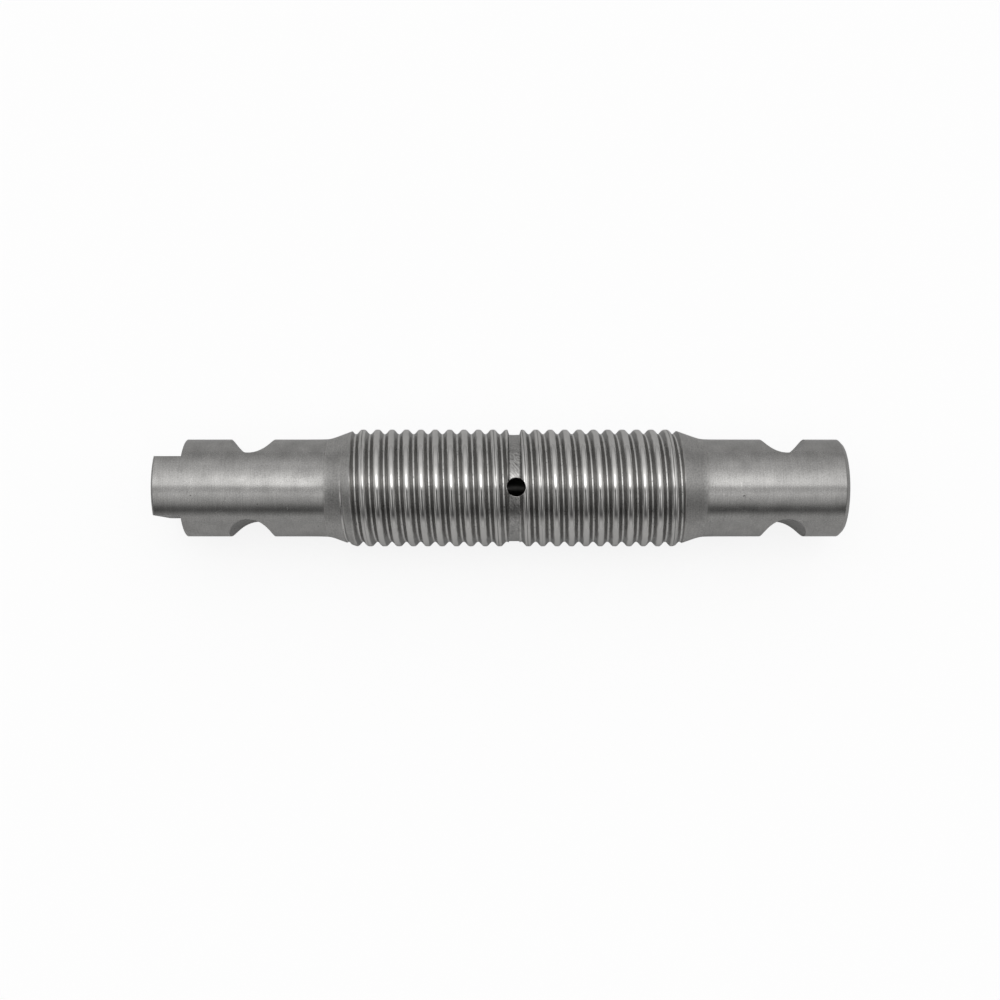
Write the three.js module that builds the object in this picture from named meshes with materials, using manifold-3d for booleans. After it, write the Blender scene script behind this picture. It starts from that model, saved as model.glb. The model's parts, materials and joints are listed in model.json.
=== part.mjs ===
// Greaseable threaded spring pin (shackle pin): a turned steel pin with a rolled thread in the middle,
// a bolt notch on both sides of each journal, a driving tang at one end, and a drilled grease gallery
// with a recessed grease fitting at the plain end and a pipe plug at the tang end.
// Millimetres. The pin lies along X, its plain end at +X, and its cross hole opens upwards, at +Z.
// The origin is the middle of the pin's length, on its axis.
import * as THREE from "three";
import { mergeVertices } from "three/addons/utils/BufferGeometryUtils.js";
import Module from "manifold-3d";

const INCH = 25.4;

// Pin
const PIN_LENGTH = 200;
const JOURNAL_RADIUS = (1.125 * INCH) / 2;
const PLAIN_END_CHAMFER = 1.2;
const TANG_END_CHAMFER = 0.45;

// Thread: single start, right hand, six turns to the inch, broad crests and narrow roots
const THREAD_PITCH = INCH / 6;
const THREAD_CREST_RADIUS = 17.25;
const THREAD_DEPTH = 1.45;
const THREAD_ROOT_FLAT = 0.85;
const THREAD_CREST_FLAT = 1.25;
const THREAD_CREST_X_AT_PLUS_Y = 1.77;
const LEFT_CONE_START_X = -50.1;
const LEFT_CONE_ANGLE = THREE.MathUtils.degToRad(21);
const RIGHT_CONE_END_X = 58.6;
const RIGHT_CONE_ANGLE = THREE.MathUtils.degToRad(20);

// Plain waist in the middle of the thread, and the grease hole drilled in it
const WAIST_X = 3.93;
const WAIST_WIDTH = 3.5;
const WAIST_RADIUS = 15.7;
const CROSS_HOLE_X = 4.34;
const CROSS_HOLE_RADIUS = 2.65;
const CROSS_HOLE_CLOCKING = THREE.MathUtils.degToRad(2.5);

// Bolt notches, across the pin, in the same place on its +Y and -Y sides
const NOTCH_XS = [-72.9, 82.65];
const NOTCH_RADIUS = 6.9;
const NOTCH_FLOOR_Y = 9.6;

// Driving tang
const TANG_LENGTH = 8;
const TANG_FLAT_Y = 8.5;

// Grease gallery, the two pipe-threaded ports at its ends, and the counterbore round the fitting
const GALLERY_RADIUS = 2.75;
const PORT_RADIUS = 5.35;
const PORT_MOUTH_CHAMFER = 0.5;
const COUNTERBORE_RADIUS = 8.75;
const COUNTERBORE_DEPTH = 12.5;
const COUNTERBORE_CHAMFER = 0.6;
const FITTING_PORT_DEPTH = 9.5;
const PLUG_PORT_DEPTH = 9.2;

// Grease fitting: 1/8 in taper pipe shank, 7/16 in hexagon, nipple head
const CLEARANCE = 0.3;
const SHANK_LENGTH = 7;
const SHANK_RADIUS = 5.05;
const SHANK_TIP_RADIUS = 4.83;
const FITTING_HEX_FLATS = (7 / 16) * INCH;
const FITTING_HEX_HEIGHT = 4;
const FITTING_HEX_CHAMFER = 0.45;
const NIPPLE_LENGTH = 7.2;
const NIPPLE_BASE_RADIUS = 4.2;
const NIPPLE_NECK_RADIUS = 2.45;
const NIPPLE_HEAD_RADIUS = 3.3;
const NIPPLE_TIP_RADIUS = 2.1;
// Where the nipple's neck and its head start and end, as shares of the nipple's length
const NECK_SHARES = [0.24, 0.5];
const HEAD_SHARES = [0.66, 0.8];
const MOUTH_RADIUS = 1;
const MOUTH_LENGTH = 0.4;
const FITTING_BORE_RADIUS = 1.75;
const SEAT_LENGTH = 1;
const SPRING_LIP_RADIUS = 1;
const SPRING_LIP_LENGTH = 1.2;

// Check ball and its spring
const BALL_RADIUS = 1.4;
const BALL_SEAT_GAP = 0.2;
const SPRING_RADIUS = 1.2;
const SPRING_WIRE_RADIUS = 0.2;
const SPRING_TURNS = 7;

// Gallery plug: 1/8 in taper pipe, hexagon socket
const PLUG_RECESS = 0.8;
const PLUG_LENGTH = 7.4;
const PLUG_CHAMFER = 0.4;
const PLUG_SOCKET_FLATS = (3 / 16) * INCH;
const PLUG_SOCKET_DEPTH = 4;

// Facets round each kind of round piece
const PIN_FACETS = 24;
const NOTCH_FACETS = 32;
const SMALL_FACETS = 24;
const BALL_FACETS = 16;
const WIRE_FACETS = 6;
const SPRING_STEPS_PER_TURN = 10;

// Points closer together than this are one point
const WELD_DISTANCE = 1e-4;

// Places that follow from the dimensions above
const HALF_LENGTH = PIN_LENGTH / 2;
const THREAD_ROOT_RADIUS = THREAD_CREST_RADIUS - THREAD_DEPTH;
const CONE_RISE = THREAD_CREST_RADIUS - JOURNAL_RADIUS;
const LEFT_CONE_TOP_X = LEFT_CONE_START_X + CONE_RISE / Math.tan(LEFT_CONE_ANGLE);
const RIGHT_CONE_TOP_X = RIGHT_CONE_END_X - CONE_RISE / Math.tan(RIGHT_CONE_ANGLE);
const NOTCH_Y = NOTCH_FLOOR_Y + NOTCH_RADIUS;
const SEAT_FACE_X = HALF_LENGTH - COUNTERBORE_DEPTH;
const HEX_BACK_X = SEAT_FACE_X + CLEARANCE;
const NIPPLE_BASE_X = HEX_BACK_X + FITTING_HEX_HEIGHT;
const NIPPLE_TIP_X = NIPPLE_BASE_X + NIPPLE_LENGTH;
const SHANK_TIP_X = HEX_BACK_X - SHANK_LENGTH;
const SEAT_FRONT_X = NIPPLE_TIP_X - MOUTH_LENGTH;
const SEAT_BACK_X = SEAT_FRONT_X - SEAT_LENGTH;
const SPRING_SEAT_X = SHANK_TIP_X + SPRING_LIP_LENGTH;

const wasm = await Module();
wasm.setup();

// A closed geometry as a solid that can be joined and cut.
function solidOf(geometry) {
  const bare = geometry.clone();
  bare.deleteAttribute("normal");
  bare.deleteAttribute("uv");
  const merged = mergeVertices(bare, WELD_DISTANCE);
  return new wasm.Manifold(
    new wasm.Mesh({
      numProp: 3,
      vertProperties: merged.attributes.position.array,
      triVerts: new Uint32Array(merged.index.array),
    }),
  );
}

// A solid as a geometry that a mesh can show.
function geometryOf(solid) {
  const made = solid.getMesh();
  const geometry = new THREE.BufferGeometry();
  geometry.setAttribute("position", new THREE.BufferAttribute(made.vertProperties, 3));
  geometry.setIndex(new THREE.BufferAttribute(made.triVerts, 1));
  return geometry;
}

// The corner radius at which a regular polygon's flats touch the round shape that it stands for.
function cornerRadius(radius, facets) {
  return radius / Math.cos(Math.PI / facets);
}

// A profile of [x, radius] points turned about the X axis, with flats facing straight up and down.
function turned(profile, facets) {
  const points = profile.map(([x, r]) => new THREE.Vector2(cornerRadius(r, facets), x));
  const geometry = new THREE.LatheGeometry(points, facets, Math.PI / facets);
  return geometry.rotateZ(-Math.PI / 2);
}

// A plain round bar along X between two places.
function bar(startX, endX, radius, facets) {
  return turned([[startX, 0], [startX, radius], [endX, radius], [endX, 0]], facets);
}

// A hexagonal bar along X between two places, flats facing up and down.
function hexBar(startX, endX, acrossFlats) {
  return bar(startX, endX, acrossFlats / 2, 6);
}

// A stretch of the X axis whose cross-direction turns about it as a thread does.
class TurningAxis extends THREE.LineCurve3 {
  constructor(startX, endX, pitch, stretch, crestX) {
    super(new THREE.Vector3(startX, 0, 0), new THREE.Vector3(endX, 0, 0));
    this.pitch = pitch;
    this.stretch = stretch;
    this.crestX = crestX;
  }

  computeFrenetFrames(steps) {
    const frames = { tangents: [], normals: [], binormals: [] };
    for (let step = 0; step <= steps; step++) {
      const x = this.getPoint(step / steps).x;
      const angle = ((x - this.crestX) / this.pitch) * 2 * Math.PI;
      const outwards = new THREE.Vector3(0, Math.cos(angle), Math.sin(angle));
      frames.tangents.push(new THREE.Vector3(0, -Math.sin(angle), Math.cos(angle)));
      frames.normals.push(outwards.multiplyScalar(this.stretch));
      frames.binormals.push(new THREE.Vector3(-1, 0, 0));
    }
    return frames;
  }
}

// The thread's groove: its section, radius by place along X, carried round the axis in whole facets.
function threadGroove() {
  const reach = 1;
  const flank = (THREAD_PITCH - THREAD_CREST_FLAT - THREAD_ROOT_FLAT) / 2;
  const rootHalf = THREAD_ROOT_FLAT / 2;
  const mouthHalf = rootHalf + (flank * (THREAD_DEPTH + reach)) / THREAD_DEPTH;
  const mouthRadius = THREAD_CREST_RADIUS + reach;
  const section = new THREE.Shape([
    new THREE.Vector2(THREAD_ROOT_RADIUS, -rootHalf),
    new THREE.Vector2(mouthRadius, -mouthHalf),
    new THREE.Vector2(mouthRadius, mouthHalf),
    new THREE.Vector2(THREAD_ROOT_RADIUS, rootHalf),
  ]);
  const grooveX = THREAD_CREST_X_AT_PLUS_Y + THREAD_PITCH / 2;
  const facetX = THREAD_PITCH / PIN_FACETS;
  const firstFacet = Math.floor((LEFT_CONE_START_X - grooveX) / facetX);
  const lastFacet = Math.ceil((RIGHT_CONE_END_X - grooveX) / facetX);
  const path = new TurningAxis(
    grooveX + (firstFacet + 0.5) * facetX,
    grooveX + (lastFacet + 0.5) * facetX,
    THREAD_PITCH,
    cornerRadius(1, PIN_FACETS),
    grooveX,
  );
  return new THREE.ExtrudeGeometry(section, { steps: lastFacet - firstFacet, extrudePath: path });
}

// The turned blank: two journals, the thread's barrel between its cones, and the plain waist.
function pinBlank() {
  const waistStart = WAIST_X - WAIST_WIDTH / 2;
  const waistEnd = WAIST_X + WAIST_WIDTH / 2;
  return turned(
    [
      [-HALF_LENGTH, 0],
      [-HALF_LENGTH, JOURNAL_RADIUS - TANG_END_CHAMFER],
      [-HALF_LENGTH + TANG_END_CHAMFER, JOURNAL_RADIUS],
      [LEFT_CONE_START_X, JOURNAL_RADIUS],
      [LEFT_CONE_TOP_X, THREAD_CREST_RADIUS],
      [waistStart, THREAD_CREST_RADIUS],
      [waistStart, WAIST_RADIUS],
      [waistEnd, WAIST_RADIUS],
      [waistEnd, THREAD_CREST_RADIUS],
      [RIGHT_CONE_TOP_X, THREAD_CREST_RADIUS],
      [RIGHT_CONE_END_X, JOURNAL_RADIUS],
      [HALF_LENGTH - PLAIN_END_CHAMFER, JOURNAL_RADIUS],
      [HALF_LENGTH, JOURNAL_RADIUS - PLAIN_END_CHAMFER],
      [HALF_LENGTH, 0],
    ],
    PIN_FACETS,
  );
}

// One bolt notch: a round bar across the pin, on the side that the sign names.
function notch(x, side) {
  const radius = cornerRadius(NOTCH_RADIUS, NOTCH_FACETS);
  const length = 3 * JOURNAL_RADIUS;
  const turn = Math.PI / NOTCH_FACETS;
  const cutter = new THREE.CylinderGeometry(radius, radius, length, NOTCH_FACETS, 1, false, turn);
  return cutter.rotateX(Math.PI / 2).translate(x, side * NOTCH_Y, 0);
}

// What is milled off one side of the tang.
function tangFlat(side) {
  const height = JOURNAL_RADIUS;
  const cutter = new THREE.BoxGeometry(2 * TANG_LENGTH, height, 4 * JOURNAL_RADIUS);
  return cutter.translate(-HALF_LENGTH, side * (TANG_FLAT_Y + height / 2), 0);
}

// The grease hole, from outside the waist down to the gallery.
function crossHole() {
  const depth = 2 * WAIST_RADIUS;
  const radius = cornerRadius(CROSS_HOLE_RADIUS, SMALL_FACETS);
  const cutter = new THREE.CylinderGeometry(radius, radius, depth, SMALL_FACETS);
  cutter.translate(0, depth / 2, 0).rotateX(Math.PI / 2 + CROSS_HOLE_CLOCKING);
  return cutter.translate(CROSS_HOLE_X, 0, 0);
}

// Everything drilled along the axis, as one cutter: plug port, gallery, fitting port and counterbore.
function axialBore() {
  const out = 1;
  const plugPortEnd = -HALF_LENGTH + PLUG_PORT_DEPTH;
  const fittingPortEnd = SEAT_FACE_X - FITTING_PORT_DEPTH;
  return turned(
    [
      [-HALF_LENGTH - out, 0],
      [-HALF_LENGTH - out, PORT_RADIUS + PORT_MOUTH_CHAMFER + out],
      [-HALF_LENGTH + PORT_MOUTH_CHAMFER, PORT_RADIUS],
      [plugPortEnd, PORT_RADIUS],
      [plugPortEnd, GALLERY_RADIUS],
      [fittingPortEnd, GALLERY_RADIUS],
      [fittingPortEnd, PORT_RADIUS],
      [SEAT_FACE_X, PORT_RADIUS],
      [SEAT_FACE_X, COUNTERBORE_RADIUS],
      [HALF_LENGTH - COUNTERBORE_CHAMFER, COUNTERBORE_RADIUS],
      [HALF_LENGTH + out, COUNTERBORE_RADIUS + COUNTERBORE_CHAMFER + out],
      [HALF_LENGTH + out, 0],
    ],
    SMALL_FACETS,
  );
}

function threadedPin() {
  let pin = solidOf(pinBlank()).subtract(solidOf(threadGroove()));
  for (const x of NOTCH_XS) {
    for (const side of [1, -1]) {
      pin = pin.subtract(solidOf(notch(x, side)));
    }
  }
  for (const side of [1, -1]) {
    pin = pin.subtract(solidOf(tangFlat(side)));
  }
  pin = pin.subtract(solidOf(crossHole()));
  pin = pin.subtract(solidOf(axialBore()));
  return geometryOf(pin);
}

// Outside of the grease fitting, the hexagon still round.
function fittingOutline() {
  const hexCorner = cornerRadius(FITTING_HEX_FLATS / 2, 6);
  return turned(
    [
      [SHANK_TIP_X, 0],
      [SHANK_TIP_X, SHANK_TIP_RADIUS],
      [HEX_BACK_X, SHANK_RADIUS],
      [HEX_BACK_X, hexCorner],
      [NIPPLE_BASE_X - FITTING_HEX_CHAMFER, hexCorner],
      [NIPPLE_BASE_X, hexCorner - 2 * FITTING_HEX_CHAMFER],
      [NIPPLE_BASE_X, NIPPLE_BASE_RADIUS],
      ...NECK_SHARES.map((share) => [NIPPLE_BASE_X + share * NIPPLE_LENGTH, NIPPLE_NECK_RADIUS]),
      ...HEAD_SHARES.map((share) => [NIPPLE_BASE_X + share * NIPPLE_LENGTH, NIPPLE_HEAD_RADIUS]),
      [NIPPLE_TIP_X, NIPPLE_TIP_RADIUS],
      [NIPPLE_TIP_X, 0],
    ],
    SMALL_FACETS,
  );
}

// The way through the fitting: a lip that holds the spring, the ball's bore, its seat and the mouth.
function fittingPassage() {
  const out = 1;
  return turned(
    [
      [SHANK_TIP_X - out, 0],
      [SHANK_TIP_X - out, SPRING_LIP_RADIUS],
      [SPRING_SEAT_X, SPRING_LIP_RADIUS],
      [SPRING_SEAT_X, FITTING_BORE_RADIUS],
      [SEAT_BACK_X, FITTING_BORE_RADIUS],
      [SEAT_FRONT_X, MOUTH_RADIUS],
      [NIPPLE_TIP_X + out, MOUTH_RADIUS],
      [NIPPLE_TIP_X + out, 0],
    ],
    BALL_FACETS,
  );
}

function greaseFittingBody() {
  const beyond = 1;
  const hexagon = solidOf(hexBar(HEX_BACK_X - beyond, NIPPLE_BASE_X + beyond, FITTING_HEX_FLATS));
  const ring = solidOf(bar(HEX_BACK_X, NIPPLE_BASE_X, 2 * FITTING_HEX_FLATS, SMALL_FACETS));
  const outsideHexagon = ring.subtract(hexagon);
  const body = solidOf(fittingOutline()).subtract(outsideHexagon);
  return geometryOf(body.subtract(solidOf(fittingPassage())));
}

// Where the ball's centre lies when the ball all but touches its conical seat.
function ballRestX() {
  const widening = FITTING_BORE_RADIUS - MOUTH_RADIUS;
  const slant = Math.hypot(SEAT_LENGTH, widening);
  const standOff = (BALL_RADIUS + BALL_SEAT_GAP) * slant;
  return SEAT_FRONT_X + (MOUTH_RADIUS * SEAT_LENGTH - standOff) / widening;
}

function greaseFittingBall() {
  const ball = new THREE.SphereGeometry(BALL_RADIUS, BALL_FACETS, BALL_FACETS / 2);
  return ball.rotateZ(-Math.PI / 2).translate(ballRestX(), 0, 0);
}

// The spring's wire, carried round the axis between the fitting's lip and the back of the ball.
function greaseFittingSpring() {
  const wireCentre = new THREE.Vector2(SPRING_RADIUS, 0);
  const section = new THREE.Shape();
  section.absarc(wireCentre.x, wireCentre.y, SPRING_WIRE_RADIUS, 0, 2 * Math.PI);
  const startX = SPRING_SEAT_X + CLEARANCE + SPRING_WIRE_RADIUS;
  const endX = ballRestX() - BALL_RADIUS - CLEARANCE - SPRING_WIRE_RADIUS;
  const path = new TurningAxis(startX, endX, (endX - startX) / SPRING_TURNS, 1, startX);
  return new THREE.ExtrudeGeometry(section, {
    steps: SPRING_TURNS * SPRING_STEPS_PER_TURN,
    curveSegments: WIRE_FACETS / 2,
    extrudePath: path,
  });
}

function galleryPlug() {
  const outerX = -HALF_LENGTH + PLUG_RECESS;
  const innerX = outerX + PLUG_LENGTH;
  const outside = turned(
    [
      [outerX, 0],
      [outerX, SHANK_RADIUS - PLUG_CHAMFER],
      [outerX + PLUG_CHAMFER, SHANK_RADIUS],
      [innerX, SHANK_TIP_RADIUS],
      [innerX, 0],
    ],
    SMALL_FACETS,
  );
  const socket = hexBar(outerX - PLUG_SOCKET_DEPTH, outerX + PLUG_SOCKET_DEPTH, PLUG_SOCKET_FLATS);
  return geometryOf(solidOf(outside).subtract(solidOf(socket)));
}

function turnedSteel() {
  return new THREE.MeshStandardMaterial({ color: 0x8e8d8b, roughness: 0.32, metalness: 1 });
}

function zincPlate() {
  return new THREE.MeshStandardMaterial({ color: 0xb9b8a8, roughness: 0.28, metalness: 1 });
}

function ballSteel() {
  return new THREE.MeshStandardMaterial({ color: 0xd2d2d4, roughness: 0.1, metalness: 1 });
}

function springSteel() {
  return new THREE.MeshStandardMaterial({ color: 0x9a9a9c, roughness: 0.25, metalness: 1 });
}

function blackOxide() {
  return new THREE.MeshStandardMaterial({ color: 0x3b3a39, roughness: 0.45, metalness: 1 });
}

function part(name, geometry, material) {
  const mesh = new THREE.Mesh(geometry, material);
  mesh.name = name;
  return mesh;
}

const springPin = new THREE.Group();
springPin.add(part("threaded_pin", threadedPin(), turnedSteel()));
springPin.add(part("gallery_plug", galleryPlug(), blackOxide()));

const greaseFitting = new THREE.Group();
greaseFitting.add(part("grease_fitting_body", greaseFittingBody(), zincPlate()));
greaseFitting.add(part("grease_fitting_ball", greaseFittingBall(), ballSteel()));
greaseFitting.add(part("grease_fitting_spring", greaseFittingSpring(), springSteel()));
springPin.add(greaseFitting);

export default springPin;
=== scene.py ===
import json
import math

import bmesh
import bpy
import numpy as np
from mathutils import Matrix, Vector


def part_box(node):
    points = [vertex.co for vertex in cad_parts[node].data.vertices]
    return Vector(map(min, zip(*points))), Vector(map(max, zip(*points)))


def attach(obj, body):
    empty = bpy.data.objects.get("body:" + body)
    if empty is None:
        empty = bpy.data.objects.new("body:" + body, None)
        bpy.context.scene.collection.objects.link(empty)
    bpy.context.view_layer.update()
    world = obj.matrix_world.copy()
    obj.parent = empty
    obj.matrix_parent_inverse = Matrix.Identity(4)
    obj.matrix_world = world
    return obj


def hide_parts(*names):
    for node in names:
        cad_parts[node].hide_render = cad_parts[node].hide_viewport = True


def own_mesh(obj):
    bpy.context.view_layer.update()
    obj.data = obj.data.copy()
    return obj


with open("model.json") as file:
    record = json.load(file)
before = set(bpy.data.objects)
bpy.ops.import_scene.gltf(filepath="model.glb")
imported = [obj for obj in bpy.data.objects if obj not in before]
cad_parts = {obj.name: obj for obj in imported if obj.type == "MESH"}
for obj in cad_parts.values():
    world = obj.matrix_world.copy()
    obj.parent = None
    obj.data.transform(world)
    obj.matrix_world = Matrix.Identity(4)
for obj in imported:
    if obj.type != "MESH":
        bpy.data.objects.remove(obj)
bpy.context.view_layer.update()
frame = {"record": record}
record = frame["record"]

MM = 0.001
TURN = 2 * math.pi


def in_mm(vector):
    return [value / MM for value in vector]


def mount_place(name):
    return next(in_mm(m["pos_m"]) for m in record["mounts"] if m["name"] == name)


def opening_centre_x(name):
    low, high = next(o["box_m"] for o in record["physics"]["openings"] if o["name"] == name)
    return (low[0] + high[0]) / 2 / MM


# Pin, from the frame
PIN_LOW, PIN_HIGH = (in_mm(corner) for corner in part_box("threaded_pin"))
LEFT_END, RIGHT_END = PIN_LOW[0], PIN_HIGH[0]
CREST_RADIUS = PIN_HIGH[2]
TANG_FLAT_Y = mount_place("tang_flat_plus_y")[1]
TANG_SHOULDER_X = mount_place("tang_shoulder_plus_y")[0]
NOTCH_XS = [opening_centre_x("tang_side_notch_plus_y"), opening_centre_x("plain_side_notch_plus_y")]

# Pin, as in the CAD source
JOURNAL_RADIUS = 14.2875
PLAIN_END_CHAMFER = 1.2
TANG_END_CHAMFER = 0.45
THREAD_PITCH = 25.4 / 6
THREAD_DEPTH = 1.38
THREAD_CREST_X_AT_PLUS_Y = 1.77
LEFT_CONE_START_X = -50.1
LEFT_CONE_SLOPE = math.tan(math.radians(21))
RIGHT_CONE_END_X = 58.6
RIGHT_CONE_SLOPE = math.tan(math.radians(20))
WAIST_X = 3.93
WAIST_WIDTH = 3.0
WAIST_RADIUS = 15.7
CROSS_HOLE_X = 4.34
CROSS_HOLE_RADIUS = 2.72
CROSS_HOLE_CLOCKING = math.radians(2.5)
NOTCH_RADIUS = 6.9
NOTCH_FLOOR_Y = 9.6
GALLERY_RADIUS = 2.75
PORT_RADIUS = 5.35
PORT_MOUTH_CHAMFER = 0.5
PLUG_PORT_DEPTH = 9.2
FITTING_PORT_DEPTH = 9.5
COUNTERBORE_RADIUS = 8.75
COUNTERBORE_CHAMFER = 0.6

# Where the ground journals stop and the turned cones begin
LEFT_GROUND_END_X = -50.6
RIGHT_GROUND_START_X = 59.1

# Grease fitting and plug, as in the CAD source: places along X, then radii
SHANK_TIP_X = in_mm(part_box("grease_fitting_body")[0])[0]
NIPPLE_TIP_X = in_mm(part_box("grease_fitting_body")[1])[0]
HEX_BACK_X = SHANK_TIP_X + 7
SEAT_FACE_X = HEX_BACK_X - 0.3
NIPPLE_BASE_X = HEX_BACK_X + 4
SHANK_TIP_RADIUS = 4.83
SHANK_RADIUS = 5.05
FITTING_FLATS = 25.4 * 7 / 16
PLUG_OUTER_X, PLUG_INNER_X = (in_mm(corner)[0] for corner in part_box("gallery_plug"))
PLUG_SOCKET_FLATS = 25.4 * 3 / 16
PLUG_SOCKET_DEPTH = 4
PIPE_THREAD_PITCH = 25.4 / 27

BALL_LOW, BALL_HIGH = (in_mm(corner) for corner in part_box("grease_fitting_ball"))
BALL_X = (BALL_LOW[0] + BALL_HIGH[0]) / 2
BALL_RADIUS = (BALL_HIGH[0] - BALL_LOW[0]) / 2
SPRING_START_X = in_mm(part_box("grease_fitting_spring")[0])[0]
SPRING_RADIUS = 1.2
SPRING_WIRE_RADIUS = 0.2
SPRING_TURNS = 9

# Edges of the finished pin: how wide each corner is rounded, and how steep the waist's walls are
CONE_FOOT_SOFTNESS = 0.45
BARREL_CORNER_SOFTNESS = 0.12
THREAD_CORNER_SOFTNESS = 0.05
WAIST_CORNER_SOFTNESS = 0.2
WAIST_FLOOR_SOFTNESS = 0.16
WAIST_WALL_SLOPE = 3.2
CUT_EDGE_WIDTH = 0.16
HOLE_LIP_THICKNESS = 0.11
HOLE_LIP_BAND = 0.16

# Thread crests: half their width in pitches, and how far they fall away at a fifth of a pitch
CREST_HALF = 0.085
CREST_CROWN = 0.045
CREST_CROWN_AT = 0.2

# Pipe threads: depth, and how far they take to fade in and out
PIPE_THREAD_DEPTH = 0.42
PIPE_THREAD_FADE = 0.5

# Fineness of the meshes
PIN_SIDES = 144
LINES_PER_PITCH = 20
SMALL_SIDES = 96
NOTCH_SIDES = 96
FINE_SIDES = 64
PIPE_LINES_PER_PITCH = 8

# How far round cutters reach past the pin
CUTTER_REACH = 22


# Meshes

def new_object(name, data):
    thing = bpy.data.objects.new(name, data)
    bpy.context.scene.collection.objects.link(thing)
    return thing


def mesh_from(name, points_mm, faces):
    mesh = bpy.data.meshes.new(name)
    mesh.from_pydata([Vector(p) * MM for p in points_mm], [], faces)
    mesh.validate()
    mesh.update()
    return new_object(name, mesh)


def ring(x, radii, sides):
    """Points round X at one place along it. Radii is one number, or one for each side."""
    angles = [TURN * k / sides for k in range(sides)]
    if not hasattr(radii, "__len__"):
        radii = [radii] * sides
    return [(x, r * math.cos(a), r * math.sin(a)) for a, r in zip(angles, radii)]


def skin(rings, sides, looped=False):
    """Faces over a row of rings, closed by a face at both ends or, if looped, last ring to first."""
    total = rings * sides
    faces = []
    for row in range(rings if looped else rings - 1):
        for k in range(sides):
            a = row * sides + k
            b = row * sides + (k + 1) % sides
            faces.append([a, b, (b + sides) % total, (a + sides) % total])
    if not looped:
        faces.append([k for k in reversed(range(sides))])
        faces.append([total - sides + k for k in range(sides)])
    return faces


def turned(name, profile, sides, looped=False):
    """A solid turned about X from (x, radius) points, with the solid on the right of the line through them.

    A radius may also be a list, one for each side. A looped profile closes on itself, and any other is
    closed by a flat face at each end.
    """
    points = [p for x, r in profile for p in ring(x, r, sides)]
    return mesh_from(name, points, skin(len(profile), sides, looped))


def bar_across(name, x, y, radius, sides):
    """A round bar along Z."""
    bar = turned(name, [(-CUTTER_REACH, radius), (CUTTER_REACH, radius)], sides)
    bar.data.transform(Matrix.Translation((x * MM, y * MM, 0)) @ Matrix.Rotation(math.pi / 2, 4, "Y"))
    return bar


def box_between(name, low, high):
    corners = [[(low, high)[i >> axis & 1][axis] for axis in range(3)] for i in range(8)]
    faces = [[0, 2, 3, 1], [4, 5, 7, 6], [0, 1, 5, 4], [2, 6, 7, 3], [0, 4, 6, 2], [1, 3, 7, 5]]
    return mesh_from(name, corners, faces)


def apply_modifiers(thing):
    bpy.context.view_layer.update()
    evaluated = thing.evaluated_get(bpy.context.evaluated_depsgraph_get())
    finished = bpy.data.meshes.new_from_object(evaluated)
    thing.modifiers.clear()
    thing.data = finished


def combine(body, tools, operation="DIFFERENCE"):
    """Cuts the tools, which don't meet each other, out of the body, or adds them, and removes them."""
    for tool in tools[1:]:
        merged = bmesh.new()
        merged.from_mesh(tools[0].data)
        merged.from_mesh(tool.data)
        merged.to_mesh(tools[0].data)
        merged.free()
        bpy.data.objects.remove(tool)
    step = body.modifiers.new("combine", "BOOLEAN")
    step.operation = operation
    step.solver = "EXACT"
    step.object = tools[0]
    apply_modifiers(body)
    bpy.data.objects.remove(tools[0])


def round_edges(thing, width_mm, wanted, segments=2, sharper_than=30, material=-1):
    """Rounds the sharp edges whose middle, in millimetres, the wanted function picks."""
    shape = bmesh.new()
    shape.from_mesh(thing.data)
    limit = math.radians(sharper_than)
    edges = [
        e for e in shape.edges
        if len(e.link_faces) == 2
        and e.calc_face_angle(0) > limit
        and wanted((e.verts[0].co + e.verts[1].co) / (2 * MM))
    ]
    bmesh.ops.bevel(
        shape, geom=edges, offset=width_mm * MM, segments=segments, profile=0.5,
        affect="EDGES", clamp_overlap=True, material=material,
    )
    shape.to_mesh(thing.data)
    shape.free()


def shade(thing, sharp_angle=35):
    for face in thing.data.polygons:
        face.use_smooth = True
    thing.data.set_sharp_from_angle(angle=math.radians(sharp_angle))
    weighted = thing.modifiers.new("weighted_normals", "WEIGHTED_NORMAL")
    weighted.keep_sharp = True
    weighted.weight = 60


# Materials

# Pits: the part of a pit's size that is its flat floor, and where its rim ends
PIT_FLOOR, PIT_RIM = 0.35, 0.6
# Scratches: the part of a scratch's width that is its floor, the size of the patches that hold scratches
# as a multiple of their spacing, how softly a patch ends, and how far a scratch wanders
SCRATCH_FLOOR = 0.3
SCRATCH_PATCH = 2.6
SCRATCH_FADE = 0.06
SCRATCH_BEND = 0.0015
# Colour of bare steel, as shares of its brightness in red, green and blue
STEEL_TINT = (1.015, 1, 0.975)
ZINC_TINT = (1.03, 1, 0.86)
BALL_TINT = (1, 1, 1.01)
SPRING_TINT = (1.05, 1, 0.93)
OXIDE_TINT = (1, 1, 1.02)


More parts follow.
